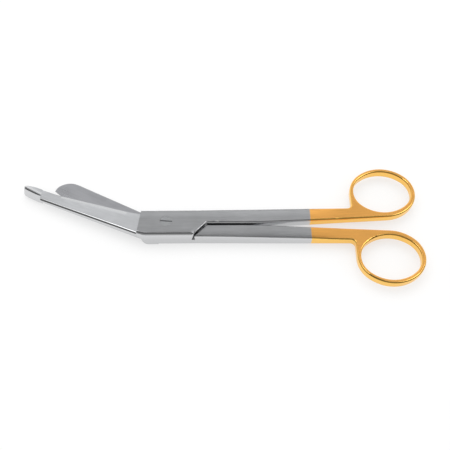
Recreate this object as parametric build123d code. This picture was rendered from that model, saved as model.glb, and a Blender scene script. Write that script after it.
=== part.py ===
"""Angled bandage scissors, 200 mm long, closed and lying flat.

Frame: the origin is on the pivot axis, at the flat outer face that the scissors rest on.
+X runs from the pivot towards the finger rings, +Y is the side that the blades bend to, +Z is up.
The probe half lies on top of the plain half, and their inner faces meet at the lap plane.

Each half is built in its own frame, with the lap plane at z = 0 and its outer face upwards.
The plain half is then turned over, and both are lifted by the thickness of one half.
"""

from build123d import *
import os
from math import acos, atan2, cos, degrees, radians, sin, tan

# Lap joint
HALF_THICKNESS = 4.2  # one half at the pivot, from lap plane to outer face
LAP_PLAY = 0.04  # between the two inner faces
HANDLE_LINE_Y = -1.0  # middle line between the two handles, measured from the pivot
BOX_HALF_WIDTH = 7.25  # the joint box, either side of that line
BOX_LEFT = -12.45  # left end of the probe half's box, on the side that the blades bend to
BOX_EDGE_RADIUS = 1.9  # long outer edges of the box
SHOULDER_FOOT_X = 12.4  # the box's slanted end, at its outer corner
SHOULDER_HEAD_X = 19.6  # and where it meets the shank
SHOULDER_CLEARANCE = 0.6  # between a slanted end and the other half's shoulder, when closed
SHOULDER_EDGE_RADIUS = 0.45
SHOULDER_OVERLAP = 0.4  # part of a slanted end's length that runs on inside the shank

# Shanks
SHANK_GAP = 0.3  # between the two shanks where they lie side by side
SHANK_SPREAD_X = 42.0  # from here they spread apart
SHANK_MIDDLE = (43.5, 7.85)  # place on the outer side, measured from the middle line
SHANK_SPREAD_RADIUS = 150.0
SHANK_INNER_DEPTH = 2.8  # how far a shank reaches past the lap plane at the shoulder
SHANK_TAPER_X = 24.0  # its outer face is level up to here
SHANK_TAPER_RADIUS = 300.0
HANDLE_EDGE_RADIUS = 0.85

# Finger rings
RING_THICKNESS = 4.4
RING_CENTRE = (108.4, 18.1)
RING_SEMI_AXES = (16.45, 14.4)
RING_END_RADIUS = 13.1  # of the arcs at both ends of the oval
HOLE_CENTRE = (108.25, 18.45)
HOLE_SEMI_AXES = (14.4, 11.85)
HOLE_END_RADIUS = 10.35
RING_START_X = 88.0  # the shank's taper ends here
RING_ROOT_WIDTH = 9.1  # outer side of the shank where it meets the ring
RING_CORNER_RADIUS = 2.4
RING_ROOT_SLOPE = 0.02  # of the shank's outer side where it meets the ring

# Probe blade, in the probe half's frame
BEND_RADIUS = 6.0
PROBE_BACK_ANGLE = 157.1  # direction of its back
PROBE_BACK_ROOT_X = -10.8  # where the back leaves the box
PROBE_END_X = -63.9  # where the blade passes into the nose
PROBE_EDGE_ROOT = (-20.0, 7.7)  # the hard edge starts here
PROBE_EDGE_TURN = (-53.5, 16.95)  # and ends here
PROBE_EDGE_END_Y = 21.0

# Plain blade, in the plain half's frame, where the blades bend to -Y
PLAIN_BACK_ROOT_X = -10.8
PLAIN_BACK_ANGLE = -153.1
PLAIN_BACK_TURN_X = -45.0  # the back is straight up to here
PLAIN_CROWN = (-50.6, -25.05)
PLAIN_NOSE = (-55.3, -23.5)
PLAIN_TIP = (-57.5, -20.5)
PLAIN_EDGE_TURN = (-53.4, -17.0)
PLAIN_EDGE_ROOT = (-16.5, -0.6)
PLAIN_HEEL_X = -11.0  # corner of the joint box beside the blade's root
PLAIN_HEEL_RADIUS = 4.0
PLAIN_TIP_ANGLE = 112.0  # direction of the outline where it reaches the tip
PLAIN_HANDLE_START_X = -4.0

# Blade sections
BACK_HEIGHT_AT_ROOT = 4.1  # of a blade's outer face above the lap plane
BACK_HEIGHT_AT_TIP = 2.3
PROBE_FACE_SLOPE = 0.3  # fall of the outer face towards the cutting edge
PLAIN_FACE_SLOPE = 0.2
BACK_EDGE_RADIUS = 1.3  # long outer edge of a blade's back
GRIND_END_X = -13.3  # the ground face's end crosses the middle of the box here
GRIND_END_SLOPE = 76.0  # slope of the box's end above the ground face, in degrees
PROBE_GRIND_END_ANGLE = 82.0  # direction of that end across the box
PLAIN_GRIND_END_ANGLE = 98.0
EDGE_LAND = 0.15  # height left at the cutting edges
EDGE_BEVEL_ANGLE = 30.0
HOLLOW_RADIUS = 45.0  # wheel that hollows the inner faces
HOLLOW_DEPTH = 0.12
PROBE_HOLLOW = ((-16.0, 0.6), (-61.0, 16.6))  # middle line of the hollow
PLAIN_HOLLOW = ((-15.0, -5.0), (-62.0, -24.9))

# Hard-metal inserts along the cutting edges
INSERT_WIDTH = 1.9
INSERT_THICKNESS = 0.95

# Probe nose
NOSE_START_X = -63.8  # a little over the blade's end, to join it
NOSE_CENTRE = (-63.5, 18.35)
NOSE_ANGLE = 158.0
NOSE_SEMI_AXES = (11.4, 3.85)  # of its plan, at its lower face
NOSE_END_RADIUS = 3.1  # of the arc at its tip
NOSE_BOTTOM = -3.7  # its lower and upper faces, from the lap plane
NOSE_TOP = 3.2
NOSE_TAPER = 15.0  # lean of its sides, in degrees
NOSE_EDGE_RADIUS = 1.5
WEB_EDGE = 2.45  # the web's outer edge, from the nose's centre
SCOOP_RADIUS = 4.0
SCOOP_ANGLE = 148.0
SCOOP_WEB = 0.6  # half the thickness of the web between the two scoops
SCOOP_RISE = 1.9  # from the nose's centre to the scoops' middle line

# Pivot screw: the probe half turns on it, the plain half holds its thread
SCREW_HEAD_DIAMETER = 5.8
SCREW_HEAD_RIM = 0.5  # straight side above the head's cone
SCREW_HEAD_CONE = 0.9
SCREW_BEARING_DIAMETER = 4.0
SCREW_THREAD_DIAMETER = 3.6
SCREW_SLOT_WIDTH = 0.6
SCREW_SLOT_DEPTH = 0.5
SCREW_SLOT_ANGLE = -4.5
SCREW_PLAY = 0.04  # radial, where the probe half turns
SCREW_THREAD_PLAY = 0.01

REACH = 300.0  # longer than the whole part, for cutting blocks
TOLERANCE = 0.001


def along(angle, length=1.0):
    """Step of a given length in the plan, at an angle in degrees from +X."""
    return Vector(cos(radians(angle)), sin(radians(angle))) * length


def span(start, end):
    """Frame at the middle of a line in the plan, with X along it, and the line's length."""
    run = Vector(*end) - Vector(*start)
    middle = (Vector(*end) + Vector(*start)) / 2
    return Pos(middle.X, middle.Y, 0) * Rot(0, 0, degrees(atan2(run.Y, run.X))), run.length


def outward(root, end):
    """Direction in the plan that points away from a blade, square to its cutting edge."""
    return along(span(end, root)[0].orientation.Z + 90)


def block_above(plane):
    """Block that fills all the space on the upper side of a plane."""
    return plane * Pos(0, 0, REACH / 2) * Box(2 * REACH, 2 * REACH, REACH)


def shoulder_line(side, clearance=0.0):
    """Foot and head of a box's slanted end: side -1 is the half's own, +1 the other half's."""
    foot = Vector(SHOULDER_FOOT_X, side * BOX_HALF_WIDTH)
    head = Vector(SHOULDER_HEAD_X, -side * SHANK_GAP / 2)
    run = (head - foot).normalized()
    out = Vector(-side * run.Y, side * run.X) * clearance
    return foot + out, head + out


def side_radius(semi_axes, end_radius):
    """Radius of an oval's long sides, from its half sizes and the radius of its ends."""
    a, b = semi_axes
    return (a * a + b * b - 2 * a * end_radius) / (2 * (b - end_radius))


def oval(semi_axes, end_radius):
    """Oval of four arcs that run smoothly into each other."""
    a, b = semi_axes
    radius = side_radius(semi_axes, end_radius)
    turn = degrees(atan2(radius - b, a - end_radius))
    end = CenterArc((a - end_radius, 0), end_radius, -turn, 2 * turn)
    side = CenterArc((0, b - radius), radius, turn, 180 - 2 * turn)
    return make_face(end + side + Rot(0, 0, 180) * end + Rot(0, 0, 180) * side)


def ring_tangent_point(start):
    """Where a line from a point below the ring touches the arc of the ring's lower side."""
    radius = side_radius(RING_SEMI_AXES, RING_END_RADIUS)
    centre = Vector(*RING_CENTRE) + Vector(0, radius - RING_SEMI_AXES[1])
    away = start - centre
    turn = degrees(acos(radius / away.length))
    return centre + along(degrees(atan2(away.Y, away.X)) + turn, radius)


def handle_outline(start_x):
    """Plan of the shank and the ring from start_x on, measured from the middle line."""
    spread = Vector(SHANK_SPREAD_X, SHANK_GAP / 2)
    ring_left = RING_CENTRE[0] - RING_SEMI_AXES[0]
    corner = Vector(ring_left, RING_ROOT_WIDTH)
    box_corner = Vector(start_x, BOX_HALF_WIDTH)
    shank_start = Vector(SHOULDER_FOOT_X, BOX_HALF_WIDTH)
    outer_side = Spline(shank_start, SHANK_MIDDLE, corner, tangents=[(1, 0), (1, RING_ROOT_SLOPE)])
    others = Polyline(
        corner,
        (ring_left, RING_CENTRE[1]),
        ring_tangent_point(spread),
        spread,
        (start_x, SHANK_GAP / 2),
        box_corner,
    )
    outline = make_face(Line(box_corner, shank_start) + outer_side + others)
    outline += Pos(*RING_CENTRE) * oval(RING_SEMI_AXES, RING_END_RADIUS)
    outline = fillet(outline.vertices().sort_by_distance(corner)[0], RING_CORNER_RADIUS)
    outline = fillet(outline.vertices().sort_by_distance(spread)[0], SHANK_SPREAD_RADIUS)
    return outline - Pos(*HOLE_CENTRE) * oval(HOLE_SEMI_AXES, HOLE_END_RADIUS)


def handle_side_view(start_x):
    """Side view of the shank and the ring: level at the joint, tapering to the ring."""
    end_x = RING_CENTRE[0] + RING_SEMI_AXES[0] + 1
    half = RING_THICKNESS / 2
    points = [
        (start_x, HALF_THICKNESS),
        (SHANK_TAPER_X, HALF_THICKNESS),
        (RING_START_X, half),
        (end_x, half),
        (end_x, -half),
        (RING_START_X, -half),
        (SHOULDER_FOOT_X, -SHANK_INNER_DEPTH),
        (start_x, -SHANK_INNER_DEPTH),
    ]
    view = Plane.XZ * make_face(Polyline(*points, close=True))
    bends = view.vertices().filter_by_position(Axis.X, SHANK_TAPER_X - 1, RING_START_X + 1)
    return fillet(bends, SHANK_TAPER_RADIUS)


def handle(start_x):
    """Shank and ring of either half, with one side of its joint box, in the handle frame."""
    solid = extrude(handle_outline(start_x), HALF_THICKNESS, both=True)
    solid &= extrude(handle_side_view(start_x), REACH / 2, both=True)
    caps = solid.faces().filter_by(lambda face: abs(face.normal_at().Z) > 0.5)
    sides = solid.faces().filter_by(lambda face: abs(face.normal_at().Z) < 0.5)
    sides = sides.sort_by(Axis.X)[1:]
    rims = [edge for edge in caps.edges() if edge in sides.edges()]
    solid = fillet(rims, HANDLE_EDGE_RADIUS)

    # Below the lap plane the shank ends in a slanted shoulder, clear of the other half's box
    foot, head = shoulder_line(1, SHOULDER_CLEARANCE)
    run = head - foot
    far_foot, far_head = foot - run, head + run
    cut = make_face(
        Polyline(far_foot, far_head, (-REACH, far_head.Y), (-REACH, far_foot.Y), close=True)
    )
    solid -= extrude(Pos(0, 0, LAP_PLAY / 2) * cut, -REACH)
    middle = (foot + head) / 2 - Vector(0, 0, SHANK_INNER_DEPTH)
    return fillet(solid.edges().sort_by_distance(middle)[0], SHOULDER_EDGE_RADIUS)


def box_side(line_y):
    """Places along a joint box's own side: inside the handle, and at its slanted end's foot."""
    foot, head = shoulder_line(-1)
    inside = head + (head - foot) * SHOULDER_OVERLAP
    return Vector(inside.X, line_y + inside.Y), Vector(foot.X, line_y + foot.Y)


def prism(outline, height):
    """Prism over a closed outline, from the inner face up."""
    return extrude(Pos(0, 0, LAP_PLAY / 2) * make_face(outline), height - LAP_PLAY / 2)


def round_rims(solid, path, radius):
    """Round the edges of a solid's upper face that lie over a path in the plan."""
    upper = solid.faces().filter_by(lambda face: face.normal_at().Z > 0.5).sort_by(SortBy.AREA)[-1]
    middles = [(edge, edge @ 0.5) for edge in upper.edges()]
    rims = [edge for edge, at in middles if path.distance_to((at.X, at.Y, 0)) < TOLERANCE]
    return fillet(rims, radius)


def round_slanted_end(solid, line_y):
    """Ease the outer edge of a joint box's slanted end."""
    inside, foot = box_side(line_y)
    middle = (inside + foot) / 2 + Vector(0, 0, HALF_THICKNESS)
    return fillet(solid.edges().sort_by_distance(middle)[0], SHOULDER_EDGE_RADIUS)


def ground_face(back_root, back_angle, face_slope, tip_x):
    """Plane of a blade's outer face, which falls to the tip and to the cutting edge."""
    length = (tip_x - back_root.X) / cos(radians(back_angle))
    fall = (BACK_HEIGHT_AT_ROOT - BACK_HEIGHT_AT_TIP) / length
    up = along(back_angle, fall) + along(back_angle - 90, face_slope) + Vector(0, 0, 1)
    return Plane(back_root + Vector(0, 0, BACK_HEIGHT_AT_ROOT), z_dir=up)


def box_and_blade(outline, back, crown, face, end_angle):
    """Joint box and ground blade over one outline, parted where the ground face ends."""
    slope = radians(GRIND_END_SLOPE)
    out = along(end_angle + 90, sin(slope)) + Vector(0, 0, cos(slope))
    beyond = block_above(Plane((GRIND_END_X, 0, HALF_THICKNESS), z_dir=out))
    box = round_rims(prism(outline, HALF_THICKNESS), back, BOX_EDGE_RADIUS)
    blade = prism(outline, 2 * HALF_THICKNESS) - block_above(face)
    blade = round_rims(blade, crown, BACK_EDGE_RADIUS)
    return (box - beyond) + (blade & beyond)


def probe_blank(line_y):
    """Joint box and blade of the probe half, with the blade's outer face ground."""
    inside, foot = box_side(line_y)
    bend = Vector(PROBE_BACK_ROOT_X, foot.Y)
    back_length = (PROBE_END_X - bend.X) / cos(radians(PROBE_BACK_ANGLE))
    back_end = bend + along(PROBE_BACK_ANGLE, back_length)
    back = FilletPolyline(foot, bend, back_end, radius=BEND_RADIUS)
    others = Polyline(
        back_end,
        (PROBE_END_X, PROBE_EDGE_END_Y),
        PROBE_EDGE_TURN,
        PROBE_EDGE_ROOT,
        (BOX_LEFT, line_y + BOX_HALF_WIDTH),
        (BOX_LEFT, inside.Y),
        inside,
        foot,
    )
    face = ground_face(bend, PROBE_BACK_ANGLE, PROBE_FACE_SLOPE, PROBE_END_X)
    solid = box_and_blade(back + others, back, back, face, PROBE_GRIND_END_ANGLE)
    return round_slanted_end(solid, line_y)


def plain_blank(line_y):
    """Joint box and blade of the plain half, with the blade's outer face ground."""
    inside, foot = box_side(line_y)
    back_root = Vector(PLAIN_BACK_ROOT_X, foot.Y)
    back_length = (PLAIN_BACK_TURN_X - back_root.X) / cos(radians(PLAIN_BACK_ANGLE))
    back_turn = back_root + along(PLAIN_BACK_ANGLE, back_length)
    back = FilletPolyline(foot, back_root, back_turn, radius=BEND_RADIUS)
    crown = Spline(
        back_turn,
        PLAIN_CROWN,
        PLAIN_NOSE,
        PLAIN_TIP,
        tangents=[along(PLAIN_BACK_ANGLE), along(PLAIN_TIP_ANGLE)],
    )
    side_y = line_y + BOX_HALF_WIDTH
    edge = Polyline(PLAIN_TIP, PLAIN_EDGE_TURN, PLAIN_EDGE_ROOT)
    heel_corner = (PLAIN_HEEL_X, side_y)
    heel_end = (PLAIN_HANDLE_START_X, side_y)
    heel = FilletPolyline(PLAIN_EDGE_ROOT, heel_corner, heel_end, radius=PLAIN_HEEL_RADIUS)
    others = Polyline(heel_end, (PLAIN_HANDLE_START_X, inside.Y), inside, foot)
    face = ground_face(back_root, PLAIN_BACK_ANGLE, PLAIN_FACE_SLOPE, PLAIN_TIP[0])
    outline = back + crown + edge + heel + others
    solid = box_and_blade(outline, back, back + crown, face, PLAIN_GRIND_END_ANGLE)
    solid = round_rims(solid, heel, HANDLE_EDGE_RADIUS)
    return round_slanted_end(solid, line_y)


def hollow_tool(start, end):
    """Cutter for the hollow of an inner face: a wheel's track along the middle of a blade."""
    frame, length = span(start, end)
    height = LAP_PLAY / 2 + HOLLOW_DEPTH - HOLLOW_RADIUS
    return frame * Pos(0, 0, height) * Rot(0, 90, 0) * Cylinder(HOLLOW_RADIUS, length)


def bevel_tool(root, *ends):
    """Cutter for the bevel along a cutting edge, which leaves the edge land."""
    path = Pos(0, 0, EDGE_LAND) * Polyline(root, *ends)
    size = 4 * HALF_THICKNESS
    rise = size * tan(radians(EDGE_BEVEL_ANGLE))
    section = Polyline((-size, rise), (-size, size), (size, size), (size, -rise), close=True)
    start = Plane(path @ 0, x_dir=outward(root, ends[0]), z_dir=path % 0)
    return sweep(start * make_face(section), path, transition=Transition.RIGHT)


def insert_room(root, end):
    """Space of the hard insert behind a straight cutting edge."""
    frame, length = span(end, root)
    size = 4 * HALF_THICKNESS
    room = Box(length, size, 2 * INSERT_THICKNESS)
    return frame * Pos(0, size / 2 - INSERT_WIDTH, 0) * room


def part_insert(solid, room):
    """Part a ground blade into the steel half and the hard insert of its edge."""
    return solid - room, solid & room


def nose():
    """Blunt probe: a rounded shoe beside a web, hollowed on both sides of the web."""
    centre = Pos(*NOSE_CENTRE, 0) * Rot(0, 0, NOSE_ANGLE)
    plan = Pos(0, 0, NOSE_BOTTOM) * oval(NOSE_SEMI_AXES, NOSE_END_RADIUS)
    body = extrude(plan, NOSE_TOP - NOSE_BOTTOM, taper=NOSE_TAPER)
    ends = body.faces().sort_by(Axis.Z)
    body = centre * fillet(ends[0].edges() + ends[-1].edges(), NOSE_EDGE_RADIUS)
    # The web is on the shoe's -Y side in the nose's frame, because X points to the tip
    body &= centre * Pos(0, REACH / 2 - WEB_EDGE, 0) * Box(REACH, REACH, REACH)
    body &= Pos(NOSE_START_X - REACH / 2, 0, 0) * Box(REACH, REACH, REACH)
    scoop = Rot(0, 90, 0) * Cylinder(SCOOP_RADIUS, REACH)
    middle = centre * Pos(0, -SCOOP_RISE, 0) * Rot(0, 0, SCOOP_ANGLE - NOSE_ANGLE)
    for side in (1, -1):
        body -= middle * Pos(0, 0, side * (SCOOP_RADIUS + SCOOP_WEB)) * scoop
    return body


def screw_room(play, thread_play):
    """Solid of revolution that the screw fills, grown by its running plays."""
    head_radius = SCREW_HEAD_DIAMETER / 2 + play
    bearing_radius = SCREW_BEARING_DIAMETER / 2 + play
    thread_radius = SCREW_THREAD_DIAMETER / 2 + thread_play
    top, bottom = HALF_THICKNESS, -HALF_THICKNESS
    rim_z = top - SCREW_HEAD_RIM
    cone_z = rim_z - SCREW_HEAD_CONE
    profile = Polyline(
        (0, top),
        (head_radius, top),
        (head_radius, rim_z),
        (bearing_radius, cone_z),
        (bearing_radius, -LAP_PLAY / 2),
        (thread_radius, -LAP_PLAY / 2),
        (thread_radius, bottom),
        (0, bottom),
        close=True,
    )
    return revolve(Plane.XZ * make_face(profile), Axis.Z)


def pivot_screw():
    """Slotted countersunk screw, its ends ground flush with the outer faces."""
    slot = Box(2 * SCREW_HEAD_DIAMETER, SCREW_SLOT_WIDTH, 2 * SCREW_SLOT_DEPTH)
    return screw_room(0, 0) - Pos(0, 0, HALF_THICKNESS) * Rot(0, 0, SCREW_SLOT_ANGLE) * slot


def probe_half():
    """Steel of the upper half and its hard insert, in its own frame."""
    line_y = HANDLE_LINE_Y
    blank = probe_blank(line_y) + Pos(0, line_y, 0) * handle(BOX_LEFT)
    hollow = hollow_tool(*PROBE_HOLLOW)
    bevel = bevel_tool(PROBE_EDGE_ROOT, PROBE_EDGE_TURN, (PROBE_END_X, PROBE_EDGE_END_Y))
    room = insert_room(PROBE_EDGE_ROOT, PROBE_EDGE_TURN)
    half, insert = part_insert(blank - hollow - bevel, room)
    half += nose()
    return half - screw_room(SCREW_PLAY, SCREW_PLAY), insert


def plain_half():
    """Steel of the lower half and its hard insert, in its own frame."""
    line_y = -HANDLE_LINE_Y
    blank = plain_blank(line_y) + Pos(0, line_y, 0) * handle(PLAIN_HANDLE_START_X)
    hollow = hollow_tool(*PLAIN_HOLLOW)
    bevel = bevel_tool(PLAIN_EDGE_ROOT, PLAIN_EDGE_TURN)
    room = insert_room(PLAIN_EDGE_ROOT, PLAIN_EDGE_TURN)
    half, insert = part_insert(blank - hollow - bevel, room)
    thread = Rot(180, 0, 0) * screw_room(0, SCREW_THREAD_PLAY)
    return half - thread, insert


def main():
    """Build every piece in the shared frame and write its file."""
    lift = Pos(0, 0, HALF_THICKNESS)
    probe, probe_insert = probe_half()
    plain, plain_insert = plain_half()
    turned = lift * Rot(180, 0, 0)
    pieces = {
        "probe_half": lift * probe,
        "probe_blade_insert": lift * probe_insert,
        "plain_half": turned * plain,
        "plain_blade_insert": turned * plain_insert,
        "pivot_screw": lift * pivot_screw(),
    }
    os.makedirs("parts", exist_ok=True)
    for name, piece in pieces.items():
        print(name, round(piece.volume, 1), piece.is_valid, len(piece.solids()), len(piece.faces()))
        export_step(piece, f"parts/{name}.step")


main()
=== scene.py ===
"""Finishes, floor, light and camera for a pair of angled bandage scissors.

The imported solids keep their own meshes. Each gets a procedural finish: ground and polished steel,
gilding from a line across the shanks on to the finger rings, and hard metal along the cutting
edges. Lengths are metres and angles degrees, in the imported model's frame: the pivot at the origin,
+X towards the rings, +Y the side that the blades bend to, +Z up.
"""

import logging
import math
from dataclasses import dataclass
from enum import Enum

import bmesh
import bpy
from mathutils import Matrix, Vector

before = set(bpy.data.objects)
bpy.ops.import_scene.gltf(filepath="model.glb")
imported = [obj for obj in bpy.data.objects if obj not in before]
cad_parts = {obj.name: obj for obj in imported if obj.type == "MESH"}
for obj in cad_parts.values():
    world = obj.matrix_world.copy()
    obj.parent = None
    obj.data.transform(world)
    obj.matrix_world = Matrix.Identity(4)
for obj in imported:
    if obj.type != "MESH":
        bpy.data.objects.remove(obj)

LOG = logging.getLogger("bandage_scissors")

Colour = tuple[float, float, float]
Socket = bpy.types.NodeSocket
Span = tuple[float, float]

NOISE_DETAIL = 3.0  # finer octaves in every noise
NOISE_ROUGHNESS = 0.6  # strength of each finer octave, as a share of the last
PATTERN_MIDDLE = 0.5  # noise varies around this
TONE_SPAN: Span = (0.25, 0.75)  # noise between which a colour varies
STREAK_SPAN: Span = (0.3, 0.7)  # scratches between which a roughness varies
CLOUD_CELLS = (45.0, 60.0, 60.0)  # cells per metre of the finish's broad unevenness
GILDING_EDGE_CELLS = (90.0, 900.0, 900.0)  # cells per metre of the gilding's uneven edge


class Side(Enum):
    """Which way a half faces, as the sign of Z on its outer face."""

    UP = 1.0
    DOWN = -1.0


class Mixture(Enum):
    """What a Mix node mixes: its data type, and the places of its operands and its result."""

    NUMBERS = ("FLOAT", 2, 3, 0)
    COLOURS = ("RGBA", 6, 7, 2)


@dataclass(frozen=True)
class SteelFinish:
    """How one kind of metal surface is worked."""

    colour: Colour
    roughness: float


@dataclass(frozen=True)
class Unevenness:
    """How much the scratches and the clouds lighten and darken a satin face."""

    streaks: float
    clouds: float


@dataclass(frozen=True)
class Grinding:
    """Fine parallel scratches that a belt or a wheel leaves."""

    angle: float
    pitch: float = 0.00022
    length: float = 0.016


@dataclass(frozen=True)
class Crown:
    """Slight roll-off of a face towards the outer edges, left by belt grinding.

    The face is level around line_y, and falls by depth over the last reach before its edge. Its
    half width grows by spread for each metre past spread_x. The fall ends between the two X of
    fade on the handle's side, and between those of box_fade on the blade's side.
    """

    line_y: float = -0.0010
    half_width: float = 0.00725
    spread_x: float = 0.0124
    spread: float = 0.0225
    reach: float = 0.0045
    depth: float = 0.0011
    fade: Span = (0.088, 0.070)
    box_fade: Span = (0.0150, 0.0120)


@dataclass(frozen=True)
class Gilding:
    """Gold plating of the handles, from a line across the shanks."""

    start_x: float = 0.07085
    edge_width: float = 0.0003
    edge_wobble: float = 0.0003
    satin: SteelFinish = SteelFinish((0.90, 0.45, 0.115), 0.34)
    polished: SteelFinish = SteelFinish((1.0, 0.60, 0.15), 0.15)
    unevenness: Unevenness = Unevenness(streaks=0.08, clouds=0.06)


class NodeGraph:
    """Small vocabulary for a node tree."""

    def __init__(self, tree: bpy.types.NodeTree) -> None:
        """Clear a node tree and start on it.

        Args:
            tree: the tree of a material or a world.
        """
        self.nodes = tree.nodes
        self.links = tree.links
        self.nodes.clear()
        self.place = self.nodes.new("ShaderNodeTexCoord")

    def feed(self, socket: Socket, value: Socket | float | Colour) -> None:
        """Give a socket a link or a constant.

        Args:
            socket: the input to feed.
            value: another node's output, a number or a colour.
        """
        if isinstance(value, bpy.types.NodeSocket):
            self.links.new(value, socket)
        elif isinstance(value, tuple) and len(socket.default_value) == 4:
            socket.default_value = (*value, 1.0)
        else:
            socket.default_value = value

    def axes(self, coordinates: str) -> tuple[Socket, Socket, Socket]:
        """Split one kind of coordinates into X, Y and Z.

        Args:
            coordinates: the name of a Texture Coordinate output.

        Returns:
            The three components.
        """
        split = self.nodes.new("ShaderNodeSeparateXYZ")
        self.links.new(self.place.outputs[coordinates], split.inputs[0])
        return split.outputs[0], split.outputs[1], split.outputs[2]

    def math(self, operation: str, *values: Socket | float) -> Socket:
        """Work out one number from others.

        Args:
            operation: the Math node's operation.
            values: its operands.

        Returns:
            The result.
        """
        node = self.nodes.new("ShaderNodeMath")
        node.operation = operation
        for socket, value in zip(node.inputs, values):
            self.feed(socket, value)
        return node.outputs[0]

    def ramp(
        self, value: Socket, low: float, high: float, start: float = 0.0, end: float = 1.0
    ) -> Socket:
        """Turn a span of values smoothly into another span.

        Args:
            value: the number to map.
            low: where the result is start.
            high: where the result is end.
            start: the result at and before low.
            end: the result at and after high.

        Returns:
            The mapped number.
        """
        node = self.nodes.new("ShaderNodeMapRange")
        node.interpolation_type = "SMOOTHSTEP"
        limits = (("From Min", low), ("From Max", high), ("To Min", start), ("To Max", end))
        for name, number in limits:
            node.inputs[name].default_value = number
        self.links.new(value, node.inputs["Value"])
        return node.outputs["Result"]

    def blend(self, share: Socket, low: Socket | Colour, high: Socket | Colour) -> Socket:
        """Mix two colours, by a share of the second one from 0 to 1."""
        return self.mix(share, low, high, Mixture.COLOURS)

    def mix(
        self,
        share: Socket,
        low: Socket | float | Colour,
        high: Socket | float | Colour,
        mixture: Mixture = Mixture.NUMBERS,
    ) -> Socket:
        """Mix two numbers or two colours.

        Args:
            share: how much of the second one, from 0 to 1.
            low: the first number or colour.
            high: the second number or colour.
            mixture: which of the two is mixed.

        Returns:
            The mixed number or colour.
        """
        data_type, first, second, result = mixture.value
        node = self.nodes.new("ShaderNodeMix")
        node.data_type = data_type
        self.feed(node.inputs[0], share)
        self.feed(node.inputs[first], low)
        self.feed(node.inputs[second], high)
        return node.outputs[result]

    def wave(self, value: Socket, marks: tuple[Span, ...]) -> Socket:
        """Follow a curve through given points, for values from -1 to 1.

        Args:
            value: the number to look up.
            marks: places and the result at each, in rising order.

        Returns:
            The curve's height there.
        """
        curve = self.nodes.new("ShaderNodeValToRGB")
        curve.color_ramp.interpolation = "EASE"
        stops = curve.color_ramp.elements
        while len(stops) < len(marks):
            stops.new(0.5)
        for stop, (place, height) in zip(stops, marks):
            stop.position = (place + 1.0) / 2.0
            stop.color = (height, height, height, 1.0)
        shifted = self.math("MULTIPLY_ADD", value, 0.5, 0.5)
        self.links.new(shifted, curve.inputs[0])
        return curve.outputs["Color"]

    def noise(self, cells: tuple[float, float, float], angle: float = 0.0) -> Socket:
        """Noise on Object coordinates, stretched along a direction in the plan.

        Args:
            cells: noise cells per metre along the direction, across it and along Z.
            angle: the direction, in degrees from +X.

        Returns:
            Values around 0.5.
        """
        turn = self.nodes.new("ShaderNodeMapping")
        turn.vector_type = "POINT"
        turn.inputs["Rotation"].default_value = (0.0, 0.0, math.radians(-angle))
        self.links.new(self.place.outputs["Object"], turn.inputs["Vector"])
        stretch = self.nodes.new("ShaderNodeMapping")
        stretch.inputs["Scale"].default_value = cells
        self.links.new(turn.outputs[0], stretch.inputs["Vector"])
        node = self.nodes.new("ShaderNodeTexNoise")
        node.inputs["Scale"].default_value = 1.0
        node.inputs["Detail"].default_value = NOISE_DETAIL
        node.inputs["Roughness"].default_value = NOISE_ROUGHNESS
        self.links.new(stretch.outputs[0], node.inputs["Vector"])
        return node.outputs["Fac"]

    def scratches(self, grinding: Grinding) -> Socket:
        """Give the marks of a grinding as a height pattern around 0.5."""
        across = 1.0 / grinding.pitch
        return self.noise((1.0 / grinding.length, across, across), grinding.angle)

    def swing(self, pattern: Socket, amount: float) -> Socket:
        """Turn a pattern around 0.5 into one around zero, times an amount."""
        return self.math("MULTIPLY", self.math("SUBTRACT", pattern, PATTERN_MIDDLE), amount)


class FinishGraph(NodeGraph):
    """Node tree of one procedural surface finish."""

    def __init__(self, name: str, metallic: float = 1.0) -> None:
        """Start a material.

        Args:
            name: the material's name.
            metallic: 1 for metal, 0 for anything else.
        """
        self.material = bpy.data.materials.new(name)
        self.material.use_nodes = True
        super().__init__(self.material.node_tree)
        self.output = self.nodes.new("ShaderNodeOutputMaterial")
        self.shader = self.nodes.new("ShaderNodeBsdfPrincipled")
        self.links.new(self.shader.outputs["BSDF"], self.output.inputs["Surface"])
        self.shader.inputs["Metallic"].default_value = metallic

    def tone(self, colour: Socket | Colour, pattern: Socket, amount: float) -> Socket:
        """Lighten and darken a colour by a pattern.

        Args:
            colour: the colour to vary.
            pattern: values around 0.5.
            amount: how far the pattern lightens and darkens it, as a share.

        Returns:
            The varied colour.
        """
        node = self.nodes.new("ShaderNodeHueSaturation")
        self.feed(node.inputs["Color"], colour)
        value = self.ramp(pattern, *TONE_SPAN, 1.0 - amount, 1.0 + amount)
        self.feed(node.inputs["Value"], value)
        return node.outputs[0]

    def streak(self, finish: SteelFinish, lines: Socket, tone: float, roughness: float) -> None:
        """Give the shader a finish whose colour and roughness follow its scratches.

        Args:
            finish: the colour and the roughness to vary.
            lines: the scratches, as values around 0.5.
            tone: how far the colour varies, as a share.
            roughness: how far the roughness varies.
        """
        self.feed(self.shader.inputs["Base Color"], self.tone(finish.colour, lines, tone))
        least, most = finish.roughness - roughness, finish.roughness + roughness
        self.feed(self.shader.inputs["Roughness"], self.ramp(lines, *STREAK_SPAN, least, most))

    def emboss(self, height: Socket, distance: float) -> None:
        """Use a height pattern as the surface's relief.

        Args:
            height: the pattern.
            distance: what one unit of the pattern measures, in metres.
        """
        bump = self.nodes.new("ShaderNodeBump")
        bump.inputs["Strength"].default_value = 1.0
        bump.inputs["Distance"].default_value = distance
        self.links.new(height, bump.inputs["Height"])
        self.links.new(bump.outputs[0], self.shader.inputs["Normal"])

    def cover(self, node: str) -> str:
        """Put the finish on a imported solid.

        Args:
            node: the solid's name.

        Returns:
            The finish's name.
        """
        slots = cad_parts[node].data.materials
        slots.clear()
        slots.append(self.material)
        return self.material.name


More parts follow.
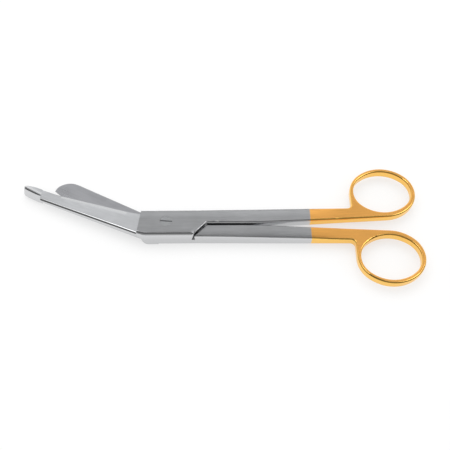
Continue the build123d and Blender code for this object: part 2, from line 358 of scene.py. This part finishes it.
@dataclass(frozen=True)
class Regions:
    """Where each working of a half shows, as shares from 0 to 1, and its patterns."""

    flat: Socket
    blade: Socket
    inner: Socket
    gilt: Socket
    lines: Socket
    shank_lines: Socket
    cloud: Socket


@dataclass
class Half:
    """One forged half of the scissors: blade, joint box, shank and finger ring."""

    node: str
    outer: Side
    blade_angle: float
    blade_face: SteelFinish = SteelFinish((0.515, 0.525, 0.54), 0.30)
    box_face: SteelFinish = SteelFinish((0.385, 0.39, 0.40), 0.36)
    inner_face: SteelFinish = SteelFinish((0.42, 0.425, 0.445), 0.28)
    polished: SteelFinish = SteelFinish((0.62, 0.625, 0.635), 0.13)
    unevenness: Unevenness = Unevenness(streaks=0.10, clouds=0.08)
    roughness_swing: float = 0.10
    scratch_depth: float = 0.0000012
    blade_start_x: float = -0.0133
    blade_end_angle: float = 82.0
    blade_end_blur: float = 0.00005
    level_normal_z: Span = (0.86, 0.95)
    level_normal_y: Span = (-0.16, -0.05)
    inward_normal_z: Span = (-0.5, -0.9)
    gilding: Gilding = Gilding()
    crown: Crown = Crown()

    def dress(self) -> str:
        """Build the half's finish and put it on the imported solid.

        Returns:
            The finish's name.
        """
        graph = FinishGraph(f"{self.node}_steel_and_gilding")
        x, y, _ = graph.axes("Object")
        regions = self.mark_out(graph, x, y)
        graph.feed(graph.shader.inputs["Base Color"], self.colour(graph, regions))
        graph.feed(graph.shader.inputs["Roughness"], self.roughness(graph, regions))
        off_blade = graph.math("SUBTRACT", 1.0, regions.blade)
        rounded = graph.math("MULTIPLY", self.roll_off(graph, x, y), off_blade)
        marks = graph.math("MULTIPLY", graph.swing(regions.lines, self.scratch_depth), regions.flat)
        graph.emboss(graph.math("SUBTRACT", marks, rounded), 1.0)
        return graph.cover(self.node)

    def mark_out(self, graph: FinishGraph, x: Socket, y: Socket) -> Regions:
        """Find the faces that are ground, polished and gilt.

        Args:
            graph: the finish that they belong to.
            x: Object X.
            y: Object Y.

        Returns:
            The regions and the patterns on them.
        """
        _, normal_y, normal_z = graph.axes("Normal")
        level = graph.ramp(graph.math("ABSOLUTE", normal_z), *self.level_normal_z)
        flat = graph.math("MULTIPLY", level, graph.ramp(normal_y, *self.level_normal_y))

        slant = -1.0 / math.tan(math.radians(self.blade_end_angle))
        past_box = graph.math("ADD", x, graph.math("MULTIPLY", y, slant))
        blur = self.blade_end_blur
        blade = graph.ramp(past_box, self.blade_start_x + blur, self.blade_start_x - blur)
        faces_out = graph.math("MULTIPLY", normal_z, self.outer.value)
        inner = graph.math("MULTIPLY", graph.ramp(faces_out, *self.inward_normal_z), blade)

        gilding = self.gilding
        wobble = graph.swing(graph.noise(GILDING_EDGE_CELLS), gilding.edge_wobble)
        half_edge = gilding.edge_width / 2
        gilt = graph.ramp(
            graph.math("ADD", x, wobble), gilding.start_x - half_edge, gilding.start_x + half_edge
        )

        shank_lines = graph.scratches(Grinding(0.0))
        blade_lines = graph.scratches(Grinding(self.blade_angle))
        return Regions(
            flat=flat,
            blade=blade,
            inner=inner,
            gilt=gilt,
            lines=graph.mix(blade, shank_lines, blade_lines),
            shank_lines=shank_lines,
            cloud=graph.noise(CLOUD_CELLS),
        )

    def colour(self, graph: FinishGraph, regions: Regions) -> Socket:
        """Colour the steel and the gilding.

        Args:
            graph: the finish that they belong to.
            regions: where each working shows.

        Returns:
            The base colour.
        """
        outer = graph.blend(regions.blade, self.box_face.colour, self.blade_face.colour)
        satin = graph.blend(regions.inner, outer, self.inner_face.colour)
        satin = graph.tone(satin, regions.lines, self.unevenness.streaks)
        satin = graph.tone(satin, regions.cloud, self.unevenness.clouds)
        steel = graph.blend(regions.flat, self.polished.colour, satin)

        gilding = self.gilding
        gold = graph.tone(gilding.satin.colour, regions.shank_lines, gilding.unevenness.streaks)
        gold = graph.tone(gold, regions.cloud, gilding.unevenness.clouds)
        gold = graph.blend(regions.flat, gilding.polished.colour, gold)
        return graph.blend(regions.gilt, steel, gold)

    def roughness(self, graph: FinishGraph, regions: Regions) -> Socket:
        """Work out how rough each face is.

        Args:
            graph: the finish that it belongs to.
            regions: where each working shows.

        Returns:
            The roughness.
        """
        outer = graph.mix(regions.blade, self.box_face.roughness, self.blade_face.roughness)
        satin = graph.mix(regions.inner, outer, self.inner_face.roughness)
        steel = graph.mix(regions.flat, self.polished.roughness, satin)
        gilding = self.gilding
        gold = graph.mix(regions.flat, gilding.polished.roughness, gilding.satin.roughness)
        even = graph.mix(regions.gilt, steel, gold)
        return graph.math("ADD", even, graph.swing(regions.cloud, self.roughness_swing))

    def roll_off(self, graph: FinishGraph, x: Socket, y: Socket) -> Socket:
        """Measure how far a face falls away towards the half's outer edges.

        Args:
            graph: the finish that it belongs to.
            x: Object X.
            y: Object Y.

        Returns:
            The fall in metres.
        """
        crown = self.crown
        across = graph.math("MULTIPLY", graph.math("SUBTRACT", y, crown.line_y), self.outer.value)
        beyond = graph.math("MAXIMUM", graph.math("SUBTRACT", x, crown.spread_x), 0.0)
        handle_side = graph.math("MULTIPLY_ADD", beyond, crown.spread, crown.half_width)
        from_handle_side = graph.math("SUBTRACT", handle_side, across)
        from_blade_side = graph.math("ADD", across, crown.half_width)
        falls = []
        for inset, fade in ((from_handle_side, crown.fade), (from_blade_side, crown.box_fade)):
            passed = graph.math("DIVIDE", graph.math("MAXIMUM", inset, 0.0), crown.reach)
            left = graph.math("MAXIMUM", graph.math("SUBTRACT", 1.0, passed), 0.0)
            fall = graph.math("MULTIPLY", left, left)
            falls.append(graph.math("MULTIPLY", fall, graph.ramp(x, *fade)))
        return graph.math("MULTIPLY", graph.math("ADD", *falls), crown.depth)


@dataclass
class EdgeInsert:
    """Strip of ground hard metal along one cutting edge."""

    node: str
    edge_angle: float
    finish: SteelFinish
    line_pitch: float = 0.00014
    line_length: float = 0.003
    line_depth: float = 0.0000003
    tone_swing: float = 0.06
    roughness_swing: float = 0.04

    def dress(self) -> str:
        """Build the strip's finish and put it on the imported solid.

        Returns:
            The finish's name.
        """
        graph = FinishGraph(f"{self.node}_hard_metal")
        across_edge = Grinding(self.edge_angle + 90.0, self.line_pitch, self.line_length)
        lines = graph.scratches(across_edge)
        graph.streak(self.finish, lines, self.tone_swing, self.roughness_swing)
        graph.emboss(lines, self.line_depth)
        return graph.cover(self.node)


@dataclass
class PivotScrew:
    """Slotted pivot screw, faced off flush with the joint."""

    node: str = "pivot_screw"
    finish: SteelFinish = SteelFinish((0.42, 0.43, 0.44), 0.32)
    turning_pitch: float = 0.00018
    turning_share: float = 0.25
    line_depth: float = 0.0000008
    tone_swing: float = 0.10
    roughness_swing: float = 0.06

    def dress(self) -> str:
        """Build the screw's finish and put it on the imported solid.

        Returns:
            The finish's name.
        """
        graph = FinishGraph("pivot_screw_faced_steel")
        x, y, _ = graph.axes("Object")
        squares = graph.math("ADD", graph.math("MULTIPLY", x, x), graph.math("MULTIPLY", y, y))
        radius = graph.math("SQRT", squares)
        turns = graph.math("MULTIPLY", radius, 2.0 * math.pi / self.turning_pitch)
        turning = graph.math("MULTIPLY", graph.math("SINE", turns), self.turning_share)
        lines = graph.scratches(Grinding(0.0))
        graph.streak(self.finish, lines, self.tone_swing, self.roughness_swing)
        graph.emboss(graph.math("ADD", lines, turning), self.line_depth)
        return graph.cover(self.node)


@dataclass
class Studio:
    """White table, light tent, lamp and the camera at the photograph's angle.

    The lens and the sensor are in millimetres. The tent is laid out by the X and Y of a direction,
    each from -1 to 1. A band is a Y and the light there. A panel is the two spans of X over which
    its light comes up, at its inner and at its outer edge.
    """

    elevation: float = 60.0
    yaw: float = -0.5
    distance: float = 0.330
    lens: float = 53.46
    sensor_width: float = 36.0
    clip_start: float = 0.01
    aim_across: float = 0.028807
    aim_up: float = 0.000170
    aim_height: float = 0.0042
    floor_colour: Colour = (0.93, 0.93, 0.93)
    floor_roughness: float = 0.9
    floor_size: float = 3.0
    floor_glow: float = 0.6
    even_level: float = 0.95
    lamp_size: Span = (0.9, 0.6)
    lamp_energy: float = 2.0
    lamp_place: tuple[float, float, float] = (-0.05, 0.35, 0.75)
    softbox_level: float = 2.4
    softbox_y: float = 0.08
    softbox_half_depth: Span = (0.28, 0.14)
    left_panel: tuple[Span, Span] = ((-0.14, -0.28), (-0.475, -0.405))
    right_panel: tuple[Span, Span] = ((0.26, 0.44), (0.80, 0.64))
    tent_bands: tuple[Span, ...] = (
        (-1.0, 0.50),
        (-0.84, 0.36),
        (-0.66, 0.12),
        (-0.36, 0.12),
        (-0.10, 0.32),
        (0.20, 0.42),
        (0.46, 0.70),
        (0.70, 0.92),
        (0.92, 1.05),
    )

    def build(self) -> None:
        """Put up the table, the lights and the camera."""
        self.lay_floor()
        self.hang_sky()
        self.place_lamp()
        self.place_camera()
        bpy.context.scene.view_settings.view_transform = "Standard"

    def lay_floor(self) -> None:
        """Lay the white table that the scissors rest on."""
        sheet = bmesh.new()
        bmesh.ops.create_grid(sheet, x_segments=1, y_segments=1, size=self.floor_size / 2)
        mesh = bpy.data.meshes.new("table")
        sheet.to_mesh(mesh)
        sheet.free()
        table = bpy.data.objects.new("table", mesh)
        bpy.context.scene.collection.objects.link(table)
        graph = FinishGraph("white_table", metallic=0.0)
        graph.shader.inputs["Roughness"].default_value = self.floor_roughness
        graph.shader.inputs["Specular IOR Level"].default_value = 0.0
        graph.feed(graph.shader.inputs["Base Color"], self.floor_colour)
        paper = graph.nodes.new("ShaderNodeEmission")
        rays = graph.nodes.new("ShaderNodeLightPath").outputs
        looked_at = graph.math("MAXIMUM", rays["Is Camera Ray"], rays["Is Glossy Ray"])
        looked_at = graph.math("MAXIMUM", looked_at, rays["Is Transmission Ray"])
        both = graph.nodes.new("ShaderNodeMixShader")
        graph.feed(both.inputs[0], graph.math("MULTIPLY", looked_at, self.floor_glow))
        graph.links.new(graph.shader.outputs["BSDF"], both.inputs[1])
        graph.links.new(paper.outputs[0], both.inputs[2])
        graph.links.new(both.outputs[0], graph.output.inputs["Surface"])
        mesh.materials.append(graph.material)

    def hang_sky(self) -> None:
        """Surround the object with an even light, which its steel sees as a banded light tent."""
        world = bpy.data.worlds.new("light_tent")
        bpy.context.scene.world = world
        world.use_nodes = True
        graph = NodeGraph(world.node_tree)
        output = graph.nodes.new("ShaderNodeOutputWorld")
        background = graph.nodes.new("ShaderNodeBackground")
        graph.links.new(background.outputs[0], output.inputs["Surface"])
        across, away, _ = graph.axes("Generated")
        from_middle = graph.math("ABSOLUTE", graph.math("SUBTRACT", away, self.softbox_y))
        overhead = graph.ramp(from_middle, *self.softbox_half_depth)
        sides = []
        for inner_edge, outer_edge in (self.left_panel, self.right_panel):
            inside = graph.ramp(across, *inner_edge)
            sides.append(graph.math("MULTIPLY", inside, graph.ramp(across, *outer_edge)))
        panels = graph.math("MULTIPLY", graph.math("ADD", *sides), self.softbox_level)
        softbox = graph.math("MULTIPLY", overhead, panels)
        tent = graph.math("ADD", graph.wave(away, self.tent_bands), softbox)
        in_gloss = graph.nodes.new("ShaderNodeLightPath").outputs["Is Glossy Ray"]
        graph.feed(background.inputs["Color"], graph.mix(in_gloss, self.even_level, tent))

    def place_lamp(self) -> None:
        """Hang a large soft lamp above and behind the scissors."""
        lamp = bpy.data.lights.new("softbox", "AREA")
        lamp.shape = "RECTANGLE"
        lamp.size, lamp.size_y = self.lamp_size
        lamp.energy = self.lamp_energy
        softbox = bpy.data.objects.new("softbox", lamp)
        bpy.context.scene.collection.objects.link(softbox)
        place = Vector(self.lamp_place)
        softbox.location = place
        softbox.rotation_euler = (-place).to_track_quat("-Z", "Y").to_euler()
        softbox.visible_glossy = False

    def place_camera(self) -> None:
        """Place the camera where the photograph was taken from."""
        turn = Matrix.Rotation(math.radians(self.yaw), 4, "Z")
        tilt = math.radians(self.elevation)
        on_table = turn @ Vector((self.aim_across, self.aim_up, 0.0))
        aim = on_table + Vector((0.0, 0.0, self.aim_height))
        gaze = turn @ Vector((0.0, math.cos(tilt), -math.sin(tilt)))
        data = bpy.data.cameras.new("camera")
        data.sensor_width = self.sensor_width
        data.lens = self.lens
        data.clip_start = self.clip_start
        camera = bpy.data.objects.new("camera", data)
        bpy.context.scene.collection.objects.link(camera)
        stand = Matrix.Translation(aim - gaze * self.distance)
        camera.matrix_world = stand @ turn @ Matrix.Rotation(math.pi / 2 - tilt, 4, "X")
        bpy.context.scene.camera = camera


def main() -> None:
    """Dress every piece of the scissors and set up the studio."""
    logging.basicConfig(level=logging.INFO, format="%(message)s")
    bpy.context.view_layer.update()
    pieces = (
        Half("probe_half", Side.UP, blade_angle=157.0),
        Half("plain_half", Side.DOWN, blade_angle=153.0),
        EdgeInsert("probe_blade_insert", 164.6, SteelFinish((0.60, 0.61, 0.62), 0.25)),
        EdgeInsert("plain_blade_insert", 156.0, SteelFinish((0.42, 0.425, 0.445), 0.28)),
        PivotScrew(),
    )
    for piece in pieces:
        LOG.info("%s: %s", piece.node, piece.dress())
    Studio().build()


if __name__ == "__main__":
    main()
